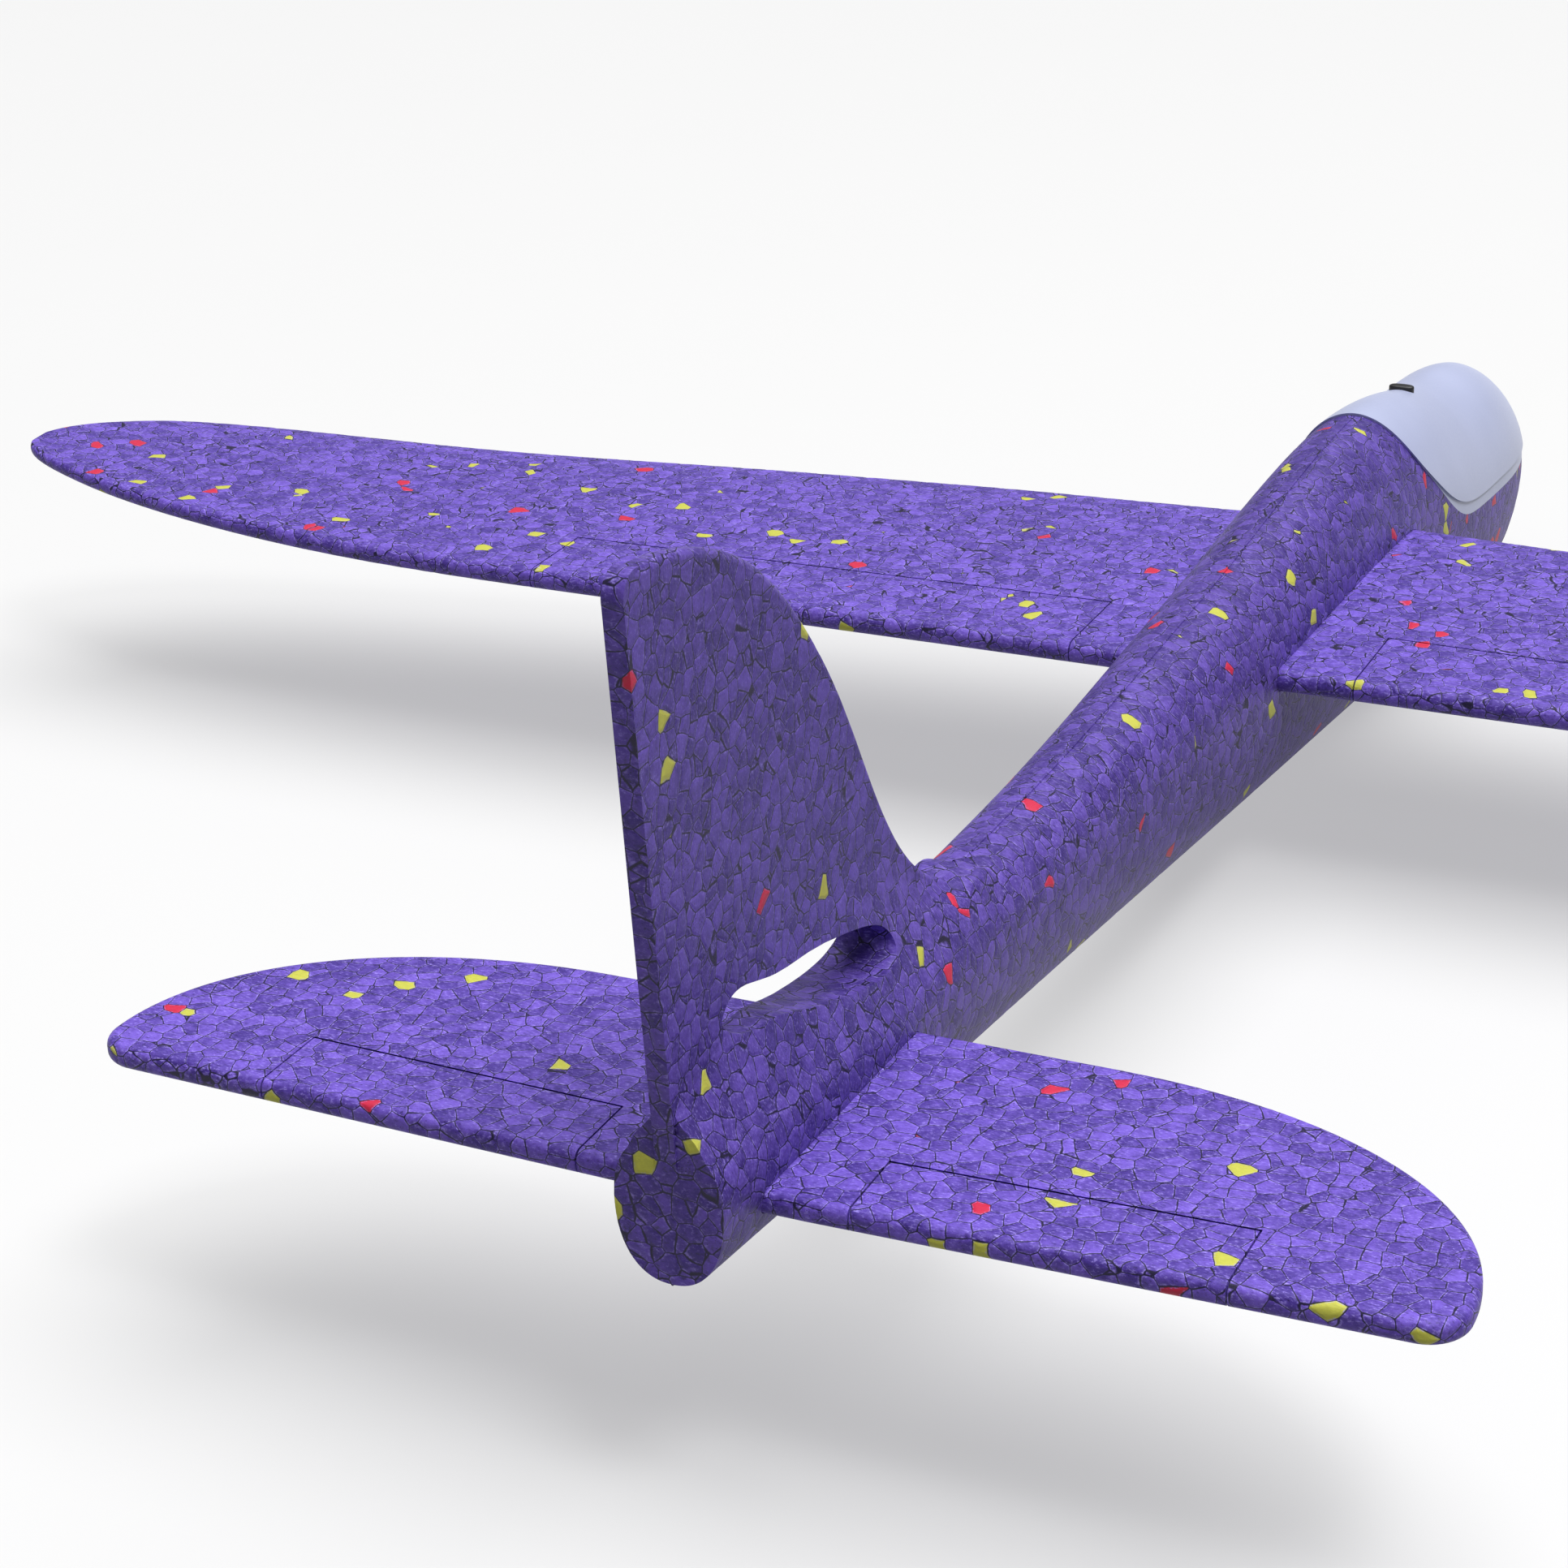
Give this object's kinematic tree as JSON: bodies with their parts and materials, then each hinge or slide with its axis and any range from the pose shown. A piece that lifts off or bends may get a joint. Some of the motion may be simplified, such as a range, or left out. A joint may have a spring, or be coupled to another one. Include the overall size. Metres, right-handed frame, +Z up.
{
  "type": "foam hand glider",
  "caption": "Hand-launched toy glider in moulded bead foam: one-piece wing and tailplane pushed through a slotted fuselage with fin, bendable scored flaps and a clip-in plastic canopy.",
  "frame": {"origin": "on the mirror plane, under the middle of the overall length, level with the lowest point of the belly", "axes": "-Y nose, +Y tail, +X the pilot's left wing, -X the right wing, +Z up"},
  "size_m": [0.478, 0.3702, 0.1174],
  "materials": {
    "foam_body": "matte bead foam",
    "foam_wing": "matte bead foam",
    "foam_tail": "matte bead foam",
    "foam_flap": "matte bead foam",
    "canopy_plastic": "satin",
    "black_plastic": "matte",
    "weight_steel": "plain"
  },
  "bodies": {
    "airframe": {"fuselage": "foam_body", "main_wing": "foam_wing", "tailplane": "foam_tail", "canopy": "canopy_plastic", "canopy_insert": "black_plastic", "nose_weight": "weight_steel"},
    "left_aileron": {"aileron_left": "foam_flap"},
    "right_aileron": {"aileron_right": "foam_flap"},
    "left_elevator": {"elevator_left": "foam_flap"},
    "right_elevator": {"elevator_right": "foam_flap"}
  },
  "joints": [
    {"name": "left_aileron_bend", "type": "hinge", "parent": "airframe", "child": "left_aileron", "pos_m": [0.0728, -0.0271, 0.03502], "axis": [0.9998, 0.0224, 0], "range_deg": [-20, 20]},
    {"name": "right_aileron_bend", "type": "hinge", "parent": "airframe", "child": "right_aileron", "pos_m": [-0.0728, -0.0271, 0.03502], "axis": [0.9998, -0.0224, 0], "range_deg": [-20, 20]},
    {"name": "left_elevator_bend", "type": "hinge", "parent": "airframe", "child": "left_elevator", "pos_m": [0.0392, 0.1576, 0.03732], "axis": [0.9995, -0.0321, 0], "range_deg": [-20, 20]},
    {"name": "right_elevator_bend", "type": "hinge", "parent": "airframe", "child": "right_elevator", "pos_m": [-0.0392, 0.1576, 0.03732], "axis": [0.9995, 0.0321, 0], "range_deg": [-20, 20]}
  ]
}
